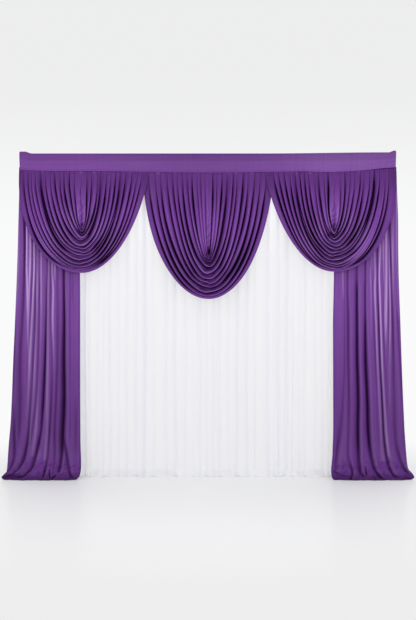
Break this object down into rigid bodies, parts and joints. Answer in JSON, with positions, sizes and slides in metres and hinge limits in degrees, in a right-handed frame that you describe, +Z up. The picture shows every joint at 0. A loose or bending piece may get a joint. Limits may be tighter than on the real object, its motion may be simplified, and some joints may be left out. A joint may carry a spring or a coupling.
{
  "type": "swagged drapery backdrop",
  "caption": "Hung cloth backdrop with a pole sleeve along the top, gathered overlapping swags, puddled side curtains and a pale pleated curtain behind.",
  "frame": {"origin": "axis of the pole sleeve at the middle of the width", "axes": "+X along the pole to the right as seen from the front, +Y to the back, +Z up"},
  "size_m": [3.2361, 0.2121, 2.5993],
  "materials": {
    "purple_cloth": "smooth stretch knit with a soft sheen",
    "white_cloth": "smooth stretch knit, matt and slightly sheer"
  },
  "bodies": {
    "root": {"heading_band": "purple_cloth", "swag_left": "purple_cloth", "swag_center": "purple_cloth", "swag_right": "purple_cloth", "side_curtain_left": "purple_cloth", "side_curtain_right": "purple_cloth", "back_curtain": "white_cloth"}
  },
  "joints": []
}
